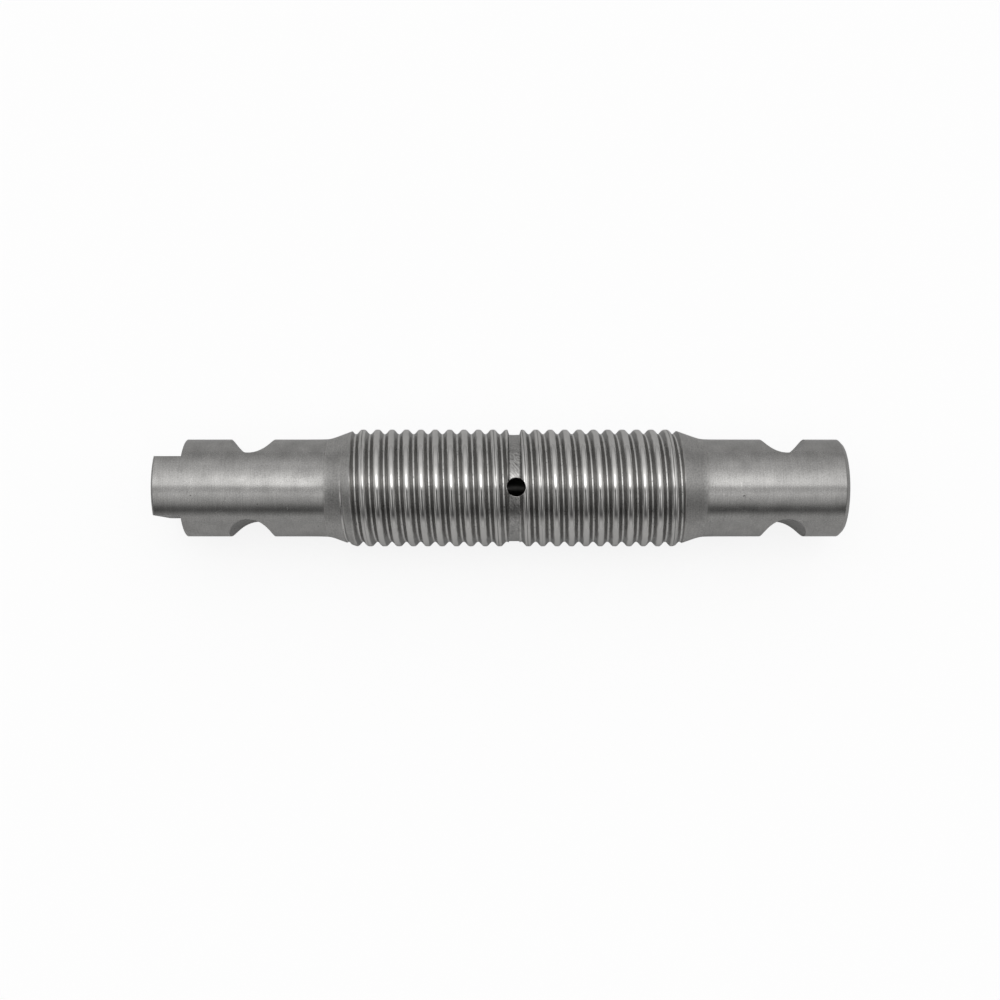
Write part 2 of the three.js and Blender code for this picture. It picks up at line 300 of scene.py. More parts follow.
class Look:
    """A metal under construction: its shader, and one short call for each kind of pattern."""

    def __init__(self, name):
        self.material = bpy.data.materials.new(name)
        self.material.use_nodes = True
        self.tree = self.material.node_tree
        self.shader = self.tree.nodes["Principled BSDF"]
        self.shader.inputs["Metallic"].default_value = 1
        self.place = self.node("ShaderNodeTexCoord").outputs["Object"]

    def node(self, kind, inputs=(), **settings):
        made = self.tree.nodes.new(kind)
        for key, value in settings.items():
            setattr(made, key, value)
        for key, value in dict(inputs).items():
            if isinstance(value, bpy.types.NodeSocket):
                self.tree.links.new(value, made.inputs[key])
            else:
                made.inputs[key].default_value = value
        return made

    def math(self, operation, *values, clamp=False):
        inputs = dict(enumerate(values))
        return self.node("ShaderNodeMath", inputs, operation=operation, use_clamp=clamp).outputs[0]

    def stretched(self, stretch, turn=(0, 0, 0)):
        """The place on the surface, turned and then scaled along each axis."""
        turned_place = self.node("ShaderNodeMapping", {"Vector": self.place, "Rotation": turn}).outputs[0]
        return self.node("ShaderNodeMapping", {"Vector": turned_place, "Scale": stretch}).outputs[0]

    def noise(self, size_mm, detail=2, stretch=(1, 1, 1), turn=(0, 0, 0)):
        """Noise from 0 to 1 with features of that size. A small stretch draws them out along that axis."""
        inputs = {"Vector": self.stretched(stretch, turn), "Scale": 1 / (size_mm * MM), "Detail": detail}
        return self.node("ShaderNodeTexNoise", inputs).outputs[0]

    def steps(self, value, low, high, out_low=0, out_high=1):
        """Value from low to high becomes out_low to out_high, held outside that."""
        inputs = {"Value": value, "From Min": low, "From Max": high, "To Min": out_low, "To Max": out_high}
        return self.node("ShaderNodeMapRange", inputs, clamp=True).outputs[0]

    def pits(self, spacing_mm, size_mm, share):
        """1 inside small round pits, in that share of the cells that the spacing makes."""
        cells = self.node("ShaderNodeTexVoronoi", {"Vector": self.place, "Scale": 1 / (spacing_mm * MM)})
        size = size_mm / spacing_mm
        inside = self.steps(cells.outputs["Distance"], PIT_FLOOR * size, PIT_RIM * size, 1, 0)
        chance = self.node("ShaderNodeSeparateColor", {0: cells.outputs["Color"]}).outputs[0]
        return self.math("MULTIPLY", inside, self.math("LESS_THAN", chance, share))

    def scratches(self, spacing_mm, width_mm, turn, stretch, amount):
        """Thin broken lines, drawn out by the stretch after the turn."""
        wander = self.node("ShaderNodeTexNoise", {"Vector": self.place, "Scale": 1 / (9 * MM), "Detail": 1})
        bend = {0: SCRATCH_BEND, 4: self.stretched(stretch, turn), 5: wander.outputs[1]}
        bent = self.node("ShaderNodeMix", bend, data_type="VECTOR").outputs[1]
        inputs = {"Vector": bent, "Scale": 1 / (spacing_mm * MM)}
        cells = self.node("ShaderNodeTexVoronoi", inputs, feature="DISTANCE_TO_EDGE")
        width = width_mm / spacing_mm
        line = self.steps(cells.outputs["Distance"], SCRATCH_FLOOR * width, width, 1, 0)
        patches = self.noise(SCRATCH_PATCH * spacing_mm, 1, turn=(0.4, 0.2, 1.1))
        broken = self.steps(patches, 1 - amount, 1 + SCRATCH_FADE - amount)
        return self.math("MULTIPLY", line, broken)

    def total(self, *terms):
        """Sum of (value, weight) pairs and plain values."""
        result = 0.0
        for term in terms:
            amount = self.math("MULTIPLY", *term) if isinstance(term, tuple) else term
            result = self.math("ADD", result, amount)
        return result

    def tone(self, value, tint):
        """A brightness becomes a colour of that tint."""
        channels = [self.math("MULTIPLY", value, share, clamp=True) for share in tint]
        return self.node("ShaderNodeCombineColor", dict(enumerate(channels))).outputs[0]

    def finish(self, brightness, roughness, height, depth_mm, tint=STEEL_TINT):
        colour = self.tone(brightness, tint)
        bump = self.node("ShaderNodeBump", {"Height": height, "Distance": depth_mm * MM, "Strength": 1})
        self.tree.links.new(colour, self.shader.inputs["Base Color"])
        self.tree.links.new(roughness, self.shader.inputs["Roughness"])
        self.tree.links.new(bump.outputs[0], self.shader.inputs["Normal"])
        return self.material


def away_from_crest(look):
    """How far a place is from the nearest thread crest, in pitches, and its x in millimetres."""
    x, y, z = look.node("ShaderNodeSeparateXYZ", {0: look.place}).outputs
    along = look.math("DIVIDE", look.math("SUBTRACT", x, THREAD_CREST_X_AT_PLUS_Y * MM), THREAD_PITCH * MM)
    phase = look.math("SUBTRACT", along, look.math("DIVIDE", look.math("ARCTAN2", z, y), TURN))
    return look.math("WRAP", phase, 0.5, -0.5), look.math("DIVIDE", x, MM)


def distance_from_axis(look):
    """Distance from the pin's axis, in millimetres."""
    x, y, z = look.node("ShaderNodeSeparateXYZ", {0: look.place}).outputs
    squared = look.math("ADD", look.math("MULTIPLY", y, y), look.math("MULTIPLY", z, z))
    return look.math("DIVIDE", look.math("SQRT", squared), MM)


def ground_steel():
    """Journals: fine grinding lines round the pin, a sparkle, handling clouds, scratches and a few pits."""
    look = Look("ground_steel")
    lines = look.noise(0.16, 3, stretch=(1, 0.03, 0.03))
    sparkle = look.noise(0.42, 3)
    clouds = look.noise(5, 4)
    long_marks = look.scratches(3.5, 0.04, (0.2, 0.3, 0.5), (1, 0.35, 1), 0.42)
    cross_marks = look.scratches(5, 0.05, (0.1, 0.2, -0.8), (1, 0.3, 1), 0.38)
    pits = look.pits(2.4, 0.32, 0.09)
    marks = look.math("MAXIMUM", long_marks, cross_marks)
    clean = look.total(0.12, (lines, 0.22), (sparkle, 0.34), (clouds, 0.32))
    brightness = look.total(clean, (marks, 0.09), (pits, -0.3))
    roughness = look.total(0.08, (clouds, 0.12), (sparkle, 0.04), (pits, 0.2))
    height = look.total((lines, 0.3), (sparkle, 0.35), (clouds, 0.6), (marks, -1), (pits, -3))
    return look.finish(brightness, roughness, height, 0.004)


def waist_steel():
    """Waist floor: fine marks slanting across it, left by the thread rolls."""
    look = Look("waist_steel")
    slanted = look.noise(0.34, 3, stretch=(1, 0.12, 1), turn=(0, 0, math.radians(-38)))
    sparkle = look.noise(0.3, 2)
    clouds = look.noise(2.5, 3)
    brightness = look.total(-0.2, (slanted, 1.1), (sparkle, 0.2), (clouds, 0.14))
    roughness = look.total(0.16, (clouds, 0.1), (sparkle, 0.06))
    return look.finish(brightness, roughness, look.total(slanted, (sparkle, 0.4)), 0.01)


def rolled_share(look, x, radius):
    """1 on the barrel and in the grooves that run out over the cones, 0 on the cones between them."""
    rise = look.math("MULTIPLY", look.math("SUBTRACT", x, LEFT_CONE_START_X), LEFT_CONE_SLOPE)
    fall = look.math("MULTIPLY", look.math("SUBTRACT", RIGHT_CONE_END_X, x), RIGHT_CONE_SLOPE)
    cone = look.math("MINIMUM", rise, fall)
    blank = look.math("MINIMUM", look.math("ADD", cone, JOURNAL_RADIUS), CREST_RADIUS)
    barrel_rise = CREST_RADIUS - JOURNAL_RADIUS
    faint_groove, clear_groove, edge = 0.04, 0.14, 0.1
    grooved = look.steps(look.math("SUBTRACT", blank, radius), faint_groove, clear_groove)
    return look.math("MAXIMUM", grooved, look.steps(cone, barrel_rise - edge, barrel_rise + edge))


def rolled_steel():
    """Thread: burnished crests and roots, flanks darkened between root and crest as painted shade, the
    rolling seam and specks. Cones: duller.
    """
    look = Look("rolled_steel")
    radius = distance_from_axis(look)
    away, x = away_from_crest(look)
    rolled = rolled_share(look, x, radius)
    turned = look.math("SUBTRACT", 1, rolled)
    rise = look.steps(radius, CREST_RADIUS - THREAD_DEPTH, CREST_RADIUS)
    lines = look.noise(0.14, 2, stretch=(1, 0.03, 0.03))
    smear = look.noise(1.6, 3, stretch=(1, 0.12, 0.12))
    clouds = look.noise(6, 3)
    ragged = look.total(rise, (look.noise(0.9, 4, stretch=(1, 0.3, 0.3)), 0.4), -0.2)
    # Painted shade: this mask darkens the flanks, from just above the roots to a ragged line below the
    # crests, where the grooves fall into shade
    flank_shade = look.math("MULTIPLY", look.steps(rise, 0.02, 0.06), look.steps(ragged, 0.7, 0.88, 1, 0))
    specks = look.math("MULTIPLY", look.pits(0.5, 0.3, 0.4), look.steps(rise, 0.0, 0.3, 1, 0))
    off_line = look.math("ABSOLUTE", look.math("SUBTRACT", away, look.total(-0.05, (smear, 0.1))))
    from_waist = look.math("ABSOLUTE", look.math("SUBTRACT", x, WAIST_X))
    beside_waist = look.steps(from_waist, 7.2, 8.4, 1, 0)
    near_ends = look.math("ADD", look.steps(x, -40, -37.5, 1, 0), look.steps(x, 46, 48.5))
    seam_places = look.math("MAXIMUM", beside_waist, near_ends)
    seam = look.math("MULTIPLY", look.steps(off_line, 0.018, 0.04, 1, 0), seam_places)
    tool_lines = look.noise(0.3, 3, stretch=(1, 0.02, 0.02))
    sparkle = look.noise(0.42, 3)

    clean_thread = look.total(0.62, (smear, 0.24), (lines, 0.12), (clouds, 0.16))
    thread_brightness = look.total(clean_thread, (flank_shade, -0.5), (specks, -0.6), (seam, -0.5))
    cone_brightness = look.total(0.06, (tool_lines, 0.24), (sparkle, 0.6), (clouds, 0.26))
    thread_roughness = look.total(0.07, (smear, 0.03), (clouds, 0.03), (flank_shade, 0.16))
    cone_roughness = look.total(0.24, (clouds, 0.12), (sparkle, 0.06))
    thread_height = look.total((lines, 0.2), (smear, 0.8), (specks, -1.5), (seam, -12))
    cone_height = look.total(tool_lines, (sparkle, 0.5))
    brightness = look.total((thread_brightness, rolled), (cone_brightness, turned))
    roughness = look.total((thread_roughness, rolled), (cone_roughness, turned))
    height = look.total((thread_height, rolled), (cone_height, turned))
    return look.finish(brightness, roughness, height, 0.006)


def milled_steel():
    """Notches, flats and shoulders: cutter lines across, darker than the journals."""
    look = Look("milled_steel")
    feed = look.noise(0.45, 2, stretch=(1, 1, 0.04))
    sparkle = look.noise(0.3, 2)
    clouds = look.noise(3, 2)
    brightness = look.total(0.14, (feed, 0.24), (sparkle, 0.24), (clouds, 0.16))
    roughness = look.total(0.2, (feed, 0.1), (clouds, 0.1))
    return look.finish(brightness, roughness, look.total(feed, (sparkle, 0.4)), 0.01)


def faced_steel():
    """End faces: rings left by the facing tool."""
    look = Look("faced_steel")
    radius = distance_from_axis(look)
    wobble = look.noise(4, 2)
    ring_spacing = 0.35
    rings = look.math("SINE", look.total((radius, TURN / ring_spacing), (wobble, 3)))
    sparkle = look.noise(0.3, 2)
    clouds = look.noise(4, 3)
    brightness = look.total(0.36, (rings, 0.03), (sparkle, 0.1), (clouds, 0.16))
    roughness = look.total(0.26, (clouds, 0.12), (sparkle, 0.06))
    return look.finish(brightness, roughness, look.total(rings, (sparkle, 0.6)), 0.006)


def shaded_drilled_steel(name, shaded_least_brightness):
    """Bores: drill lines round them over a dark base that the caller gives, painted shade for the inside of
    the holes.
    """
    look = Look(name)
    lines = look.noise(0.4, 2, stretch=(1, 0.05, 0.05))
    clouds = look.noise(2.5, 3)
    brightness = look.total(shaded_least_brightness, (lines, 0.1), (clouds, 0.14))
    roughness = look.total(0.35, (clouds, 0.2))
    return look.finish(brightness, roughness, look.total(lines, clouds), 0.01)


def worn_edge_steel():
    """Rounded edges, burnished by handling."""
    look = Look("worn_edge_steel")
    sparkle = look.noise(0.35, 2)
    clouds = look.noise(1.8, 3)
    brightness = look.total(0.42, (sparkle, 0.15), (clouds, 0.3))
    roughness = look.total(0.18, (clouds, 0.2))
    return look.finish(brightness, roughness, look.total(sparkle, clouds), 0.008)


def zinc_plate():
    """Grease fitting: zinc with a faint yellow passivation that drifts, and fine turning lines."""
    look = Look("zinc_plate")
    lines = look.noise(0.12, 2, stretch=(1, 0.05, 0.05))
    clouds = look.noise(1.8, 3)
    sparkle = look.noise(0.2, 2)
    scuffs = look.scratches(2.6, 0.03, (0.5, 0.3, 0.2), (1, 0.3, 1), 0.36)
    brightness = look.total(0.56, (lines, 0.08), (clouds, 0.16), (sparkle, 0.08), (scuffs, 0.08))
    roughness = look.total(0.2, (clouds, 0.14), (scuffs, 0.1))
    height = look.total(lines, (sparkle, 0.5), (scuffs, -0.4))
    return look.finish(brightness, roughness, height, 0.003, ZINC_TINT)


def ball_steel():
    """Check ball: lapped, with the faintest haze."""
    look = Look("ball_steel")
    haze = look.noise(0.5, 2)
    lap = look.scratches(0.5, 0.01, (0.4, 0.7, 0.1), (1, 0.5, 1), 0.5)
    brightness = look.total(0.66, (haze, 0.08), (lap, -0.08))
    roughness = look.total(0.06, (haze, 0.06), (lap, 0.1))
    return look.finish(brightness, roughness, look.total(haze, (lap, -1)), 0.0006, BALL_TINT)


def spring_wire():
    """Return spring: drawn wire with draw lines along it and a straw tint from tempering."""
    look = Look("spring_wire")
    draw = look.noise(0.06, 2, stretch=(1, 0.3, 0.3))
    clouds = look.noise(0.9, 2)
    brightness = look.total(0.36, (draw, 0.14), (clouds, 0.16))
    roughness = look.total(0.2, (draw, 0.1), (clouds, 0.08))
    return look.finish(brightness, roughness, draw, 0.002, SPRING_TINT)


def black_oxide():
    """Gallery plug: black oxide rubbed thin in places."""
    look = Look("black_oxide")
    grain = look.noise(0.18, 3)
    rubbed = look.steps(look.noise(1.4, 3), 0.5, 0.75)
    brightness = look.total(0.035, (grain, 0.04), (rubbed, 0.14))
    roughness = look.total(0.36, (grain, 0.16), (rubbed, -0.08))
    return look.finish(brightness, roughness, look.total(grain, (rubbed, -0.5)), 0.006, OXIDE_TINT)


# The pin

def soft_ramp(x, width):
    """0 below 0 and x above it, with a smooth corner between."""
    return (x + math.sqrt(x * x + width * width)) / 2


def softer_min(a, b, width):
    return a - soft_ramp(a - b, width)


def ease(t):
    t = min(max(t, 0), 1)
    return t * t * (3 - 2 * t)


def blank_radius(x):
    """The turned blank, before its thread: journals, cones with hollow feet, and barrel."""
    rise = soft_ramp((x - LEFT_CONE_START_X) * LEFT_CONE_SLOPE, CONE_FOOT_SOFTNESS)
    fall = soft_ramp((RIGHT_CONE_END_X - x) * RIGHT_CONE_SLOPE, CONE_FOOT_SOFTNESS)
    return softer_min(JOURNAL_RADIUS + min(rise, fall), CREST_RADIUS, BARREL_CORNER_SOFTNESS)


def waist_radius(x):
    """The waist's groove, as a limit on the radius: its floor, and two steep walls."""
    past_floor = abs(x - WAIST_X) - WAIST_WIDTH / 2
    return WAIST_RADIUS + soft_ramp(past_floor * WAIST_WALL_SLOPE, WAIST_FLOOR_SOFTNESS)


def thread_radius(x, angle):
    """The thread: rounded crests, eased flanks and narrow rounded roots."""
    phase = (x - THREAD_CREST_X_AT_PLUS_Y) / THREAD_PITCH - angle / TURN
    away = phase - round(phase)
    crown = CREST_CROWN * (away / CREST_CROWN_AT) ** 2
    drop = ease((abs(away) - CREST_HALF) / (0.5 - CREST_HALF))
    return CREST_RADIUS - crown * (1 - drop) - THREAD_DEPTH * drop


def pin_radius(x, angle):
    r = blank_radius(x)
    if LEFT_CONE_START_X < x < RIGHT_CONE_END_X:
        r = softer_min(r, thread_radius(x, angle), THREAD_CORNER_SOFTNESS)
        r = softer_min(r, waist_radius(x), WAIST_CORNER_SOFTNESS)
    return max(r, JOURNAL_RADIUS)


def pin_lines():
    """Places along X of the mesh's rings: close over the thread, closer at the waist, few elsewhere."""
    step = THREAD_PITCH / LINES_PER_PITCH
    least_gap = 0.08
    thread = np.arange(LEFT_CONE_START_X + 0.6, RIGHT_CONE_END_X - 0.4, step).tolist()
    past_wall = (-0.12, -0.06, 0, 0.06, 0.12, 0.2, 0.28, 0.36, 0.44, 0.52, 0.62, 0.74)
    fixed = [WAIST_X + side * (WAIST_WIDTH / 2 + d) for side in (-1, 1) for d in past_wall]
    fixed += [LEFT_CONE_START_X - d for d in (7, 5, 3.5, 2.5, 1, 0.5, 0)]
    fixed += [RIGHT_CONE_END_X + d for d in (0, 0.5, 1, 1.5, 3, 4.2, 5.6, 7.5)]
    fixed += [LEFT_GROUND_END_X, RIGHT_GROUND_START_X]
    clear = [x for x in thread if min(abs(x - place) for place in fixed) > least_gap]
    return sorted(clear + fixed)


def chamfered_end(chamfer):
    """(Distance in from an end face, radius) pairs over a chamfer whose two corners are rounded."""
    reach, middle = 0.14, 0.02
    along = reach / math.sqrt(2)
    sharp_radius = JOURNAL_RADIUS - chamfer
    return [
        (0, sharp_radius - reach), (middle, sharp_radius - 1.5 * middle), (along, sharp_radius + along),
        (chamfer - along, JOURNAL_RADIUS - along), (chamfer + 1.5 * middle, JOURNAL_RADIUS - middle),
        (chamfer + reach, JOURNAL_RADIUS),
    ]


def pin_blank():
    angles = [TURN * k / PIN_SIDES for k in range(PIN_SIDES)]
    tang_end = chamfered_end(TANG_END_CHAMFER)
    plain_end = reversed(chamfered_end(PLAIN_END_CHAMFER))
    rings = [ring(LEFT_END + inward, r, PIN_SIDES) for inward, r in tang_end]
    rings += [ring(x, [pin_radius(x, a) for a in angles], PIN_SIDES) for x in pin_lines()]
    rings += [ring(RIGHT_END - inward, r, PIN_SIDES) for inward, r in plain_end]
    points = [point for one in rings for point in one]
    return mesh_from("threaded_pin_steel", points, skin(len(rings), PIN_SIDES))


def axial_bore():
    """Everything drilled along the axis: plug port, gallery, fitting port and counterbore."""
    out = 1
    fine = 0.01
    return turned("bore", [
        (LEFT_END - out, PORT_RADIUS + PORT_MOUTH_CHAMFER + out),
        (LEFT_END + PORT_MOUTH_CHAMFER, PORT_RADIUS),
        (LEFT_END + PLUG_PORT_DEPTH, PORT_RADIUS),
        (LEFT_END + PLUG_PORT_DEPTH + fine, GALLERY_RADIUS),
        (SEAT_FACE_X - FITTING_PORT_DEPTH - fine, GALLERY_RADIUS),
        (SEAT_FACE_X - FITTING_PORT_DEPTH, PORT_RADIUS),
        (SEAT_FACE_X - fine, PORT_RADIUS),
        (SEAT_FACE_X, COUNTERBORE_RADIUS),
        (RIGHT_END - COUNTERBORE_CHAMFER, COUNTERBORE_RADIUS),
        (RIGHT_END + out, COUNTERBORE_RADIUS + COUNTERBORE_CHAMFER + out),
    ], SMALL_SIDES)


def cross_hole():
    drill = turned("cross_hole", [(0, CROSS_HOLE_RADIUS), (CUTTER_REACH, CROSS_HOLE_RADIUS)], FINE_SIDES)
    turn_up = Matrix.Rotation(CROSS_HOLE_CLOCKING, 4, "X") @ Matrix.Rotation(-math.pi / 2, 4, "Y")
    drill.data.transform(Matrix.Translation((CROSS_HOLE_X * MM, 0, 0)) @ turn_up)
    return drill


def pin_surface(centre, normal):
    """Which of the pin's finishes a face has, from its middle in millimetres and its normal."""
    x, y, z = centre
    radius = math.hypot(y, z)
    outward = (y * normal[1] + z * normal[2]) / max(radius, 1e-6)
    faces_an_end = abs(normal[0]) > 0.9
    from_hole = math.hypot(x - CROSS_HOLE_X, y + z * math.sin(CROSS_HOLE_CLOCKING))
    near = 0.06
    if min(x - LEFT_END, RIGHT_END - x) < near and faces_an_end:
        return "faced"
    if outward < -0.3 and radius < COUNTERBORE_RADIUS + COUNTERBORE_CHAMFER + near:
        return "drilled" if radius < PORT_RADIUS - near else "bored"
    if faces_an_end and radius < COUNTERBORE_RADIUS and abs(x) > WAIST_X + 20:
        return "bored"
    if z > 0 and from_hole < CROSS_HOLE_RADIUS + near and abs(outward) < 0.5:
        return "drilled"
    beside_tang = x < TANG_SHOULDER_X + near and abs(y) > TANG_FLAT_Y - near
    if beside_tang and (abs(normal[1]) > 0.99 or normal[0] < -0.9):
        return "milled"
    for notch_x in NOTCH_XS:
        from_axis = math.hypot(x - notch_x, abs(y) - NOTCH_FLOOR_Y - NOTCH_RADIUS)
        if from_axis < NOTCH_RADIUS + near and abs(normal[2]) < 0.1:
            return "milled"
    if abs(from_hole - CROSS_HOLE_RADIUS) < HOLE_LIP_BAND and z > 0:
        return "worn"
    if abs(x - WAIST_X) < WAIST_WIDTH / 2:
        return "waist"
    return "rolled" if LEFT_GROUND_END_X < x < RIGHT_GROUND_START_X else "ground"


def outside_thread(place):
    return place.x < LEFT_GROUND_END_X or place.x > RIGHT_GROUND_START_X


def paint(thing, looks, chooser):
    """Gives each face the material that the chooser names."""
    names = list(looks)
    for name in names:
        thing.data.materials.append(looks[name])
    for face in thing.data.polygons:
        face.material_index = names.index(chooser([c / MM for c in face.center], face.normal))


def hole_lip():
    """A thin roll of metal round the cross hole's mouth, over the waist and the thread beside it."""
    around, along = 10, 72
    track = CROSS_HOLE_RADIUS + 0.03
    highest = CREST_RADIUS - 0.15
    points = []
    for k in range(along):
        t = TURN * k / along
        x = CROSS_HOLE_X + track * math.cos(t)
        y = track * math.sin(t) - WAIST_RADIUS * math.sin(CROSS_HOLE_CLOCKING)
        radius = min(pin_radius(x, math.acos(y / WAIST_RADIUS)), highest)
        out = Vector((math.cos(t), math.sin(t), 0))
        centre = Vector((x, y, math.sqrt(radius * radius - y * y)))
        for j in range(around):
            s = TURN * j / around
            offset = out * math.cos(s) + Vector((0, 0, 1)) * math.sin(s)
            points.append(centre + offset * HOLE_LIP_THICKNESS)
    return mesh_from("hole_lip", points, [face[::-1] for face in skin(along, around, looped=True)])


# Small dents from handling: place along X, degrees from +Y towards +Z, radius of the ball cut out, depth
DENTS = [
    (-88.2, -82, 1.6, 0.16), (-85.6, -74, 2.2, 0.2), (-83.1, -86, 1.3, 0.15), (-81.0, -66, 1.8, 0.14),
    (-80.2, -80, 2.4, 0.2), (-64.5, 31, 1.2, 0.08), (-57.3, -63, 1.5, 0.1), (-61.2, 118, 1.4, 0.08),
    (69.5, 103, 1.1, 0.07), (91.4, 64, 1.0, 0.08), (75.2, -38, 1.6, 0.1), (93.7, 208, 1.5, 0.1),
    (-69.0, 214, 1.7, 0.1), (64.8, 262, 1.4, 0.08), (-90.2, 152, 1.3, 0.09), (88.3, -97, 1.5, 0.1),
]


def dents():
    balls = []
    for x, turn, radius, depth in DENTS:
        shape = bmesh.new()
        bmesh.ops.create_icosphere(shape, subdivisions=3, radius=radius * MM)
        ball = new_object("dent", bpy.data.meshes.new("dent"))
        shape.to_mesh(ball.data)
        shape.free()
        away, angle = JOURNAL_RADIUS + radius - depth, math.radians(turn)
        centre = Vector((x, away * math.cos(angle), away * math.sin(angle)))
        ball.data.transform(Matrix.Translation(centre * MM))
        balls.append(ball)
    return balls


def threaded_pin():
    pin = pin_blank()
    combine(pin, [hole_lip()], "UNION")
    cutters = []
    for x in NOTCH_XS:
        for side in (1, -1):
            y = side * (NOTCH_FLOOR_Y + NOTCH_RADIUS)
            cutters.append(bar_across("notch", x, y, NOTCH_RADIUS, NOTCH_SIDES))
    reach, past_end = 20, 5
    for side in (1, -1):
        low_y, high_y = sorted((side * TANG_FLAT_Y, side * reach))
        low, high = (LEFT_END - past_end, low_y, -reach), (TANG_SHOULDER_X, high_y, reach)
        cutters.append(box_between("flat", low, high))
    cutters.append(axial_bore())
    combine(pin, cutters)
    combine(pin, [cross_hole()] + dents())
    looks = {
        "ground": ground_steel(), "rolled": rolled_steel(), "waist": waist_steel(),
        "milled": milled_steel(), "faced": faced_steel(), "worn": worn_edge_steel(),
        # Painted shade: the gallery and cross hole are painted nearly black, and the wider ports and
        # counterbore darker than the outside
        "drilled": shaded_drilled_steel("shaded_drilled_steel", 0.04), "bored": shaded_drilled_steel("shaded_bored_steel", 0.3),
    }
    paint(pin, looks, pin_surface)
    round_edges(pin, CUT_EDGE_WIDTH, outside_thread, material=list(looks).index("worn"))
    shade(pin)
    return pin


# The small pieces

def hex_radii(flats, sides, limit=math.inf):
    """Radii of a ring whose outline is a hexagon with corners on the Y axis, none larger than limit."""
    turns = [360 * k / sides for k in range(sides)]
    return [min(flats / 2 / math.cos(math.radians(turn % 60 - 30)), limit) for turn in turns]


def piped(x, base, low, high):
    """Radii of one ring over a pipe thread, which fades in from low and out to high."""
    fade = ease((x - low) / PIPE_THREAD_FADE) * ease((high - x) / PIPE_THREAD_FADE)
    crest_share, flank_share = 0.1, 0.8
    radii = []
    for k in range(SMALL_SIDES):
        phase = x / PIPE_THREAD_PITCH - k / SMALL_SIDES
        away = abs(phase - round(phase)) * 2
        radii.append(base - PIPE_THREAD_DEPTH * fade * ease((away - crest_share) / flank_share))
    return radii


def pipe_thread(start, end, start_radius, end_radius):
    """Rings over a threaded taper, as (x, radii) pairs."""
    rows = []
    count = round((end - start) / PIPE_THREAD_PITCH * PIPE_LINES_PER_PITCH)
    for k in range(count + 1):
        x = start + (end - start) * k / count
        base = start_radius + (end_radius - start_radius) * k / count
        rows.append((x, piped(x, base, start, end)))
    return rows


def arc(centre_x, centre_r, radius, start, end, count):
    """Points of a profile along an arc, with angles in degrees from +X towards larger radii."""
    turns = [math.radians(start + (end - start) * k / count) for k in range(count + 1)]
    return [(centre_x + radius * math.cos(t), centre_r + radius * math.sin(t)) for t in turns]


def grease_fitting_body():
    """Tapered threaded shank, chamfered hexagon and nipple, with the grease passage right through."""
    rows = [(SHANK_TIP_X, SHANK_TIP_RADIUS - 0.5)]
    rows += pipe_thread(SHANK_TIP_X + 0.35, HEX_BACK_X - 0.5, SHANK_TIP_RADIUS, SHANK_RADIUS)
    rows += [(HEX_BACK_X, SHANK_RADIUS - 0.45)]

    back_chamfer, front_chamfer, chamfer_slope = 0.45, 0.72, 1.7
    back_rows, front_rows = 12, 18
    widest = FITTING_FLATS / math.sqrt(3) - 0.05
    places = [HEX_BACK_X + back_chamfer * k / back_rows for k in range(back_rows + 1)]
    places += [NIPPLE_BASE_X - front_chamfer * k / front_rows for k in range(front_rows, -1, -1)]
    for x in places:
        inset = max(0, back_chamfer - (x - HEX_BACK_X), front_chamfer - (NIPPLE_BASE_X - x))
        rows.append((x, hex_radii(FITTING_FLATS, SMALL_SIDES, widest - inset * chamfer_slope)))
    rows += [(NIPPLE_BASE_X, 4.9), (NIPPLE_BASE_X + 0.02, 4.2)]

    fillet, neck_radius, head_radius, head_edge, crown = 1.73, 2.45, 3.3, 0.5, 2.1
    neck_end = NIPPLE_BASE_X + 3.6
    rows += arc(NIPPLE_BASE_X + fillet, neck_radius + fillet, fillet, 180, 270, 8)[1:]
    rows += [(neck_end, neck_radius), (neck_end + 0.25, neck_radius + 0.1)]
    rows += [(neck_end + 0.9, head_radius - 0.12)]
    rows += arc(NIPPLE_BASE_X + 4.95, head_radius - head_edge, head_edge, 120, 60, 5)
    rows += arc(NIPPLE_TIP_X - crown, 1.5, crown, 38, 16, 6)

    mouth_radius, passage_radius = 1.0, 1.75
    rows += [(NIPPLE_TIP_X - 0.02, 1.95), (NIPPLE_TIP_X, 1.75), (NIPPLE_TIP_X, mouth_radius + 0.12)]
    rows += [(NIPPLE_TIP_X - 0.08, mouth_radius), (NIPPLE_TIP_X - 0.4, mouth_radius)]
    rows += [(NIPPLE_TIP_X - 1.4, passage_radius), (SHANK_TIP_X + 1.2, passage_radius)]
    rows += [(SHANK_TIP_X + 1.19, mouth_radius), (SHANK_TIP_X + 0.1, mouth_radius)]
    rows += [(SHANK_TIP_X, mouth_radius + 0.1)]
    body = turned("grease_fitting_zinc", rows, SMALL_SIDES, looped=True)
    body.data.materials.append(zinc_plate())
    shade(body, 28)
    return body


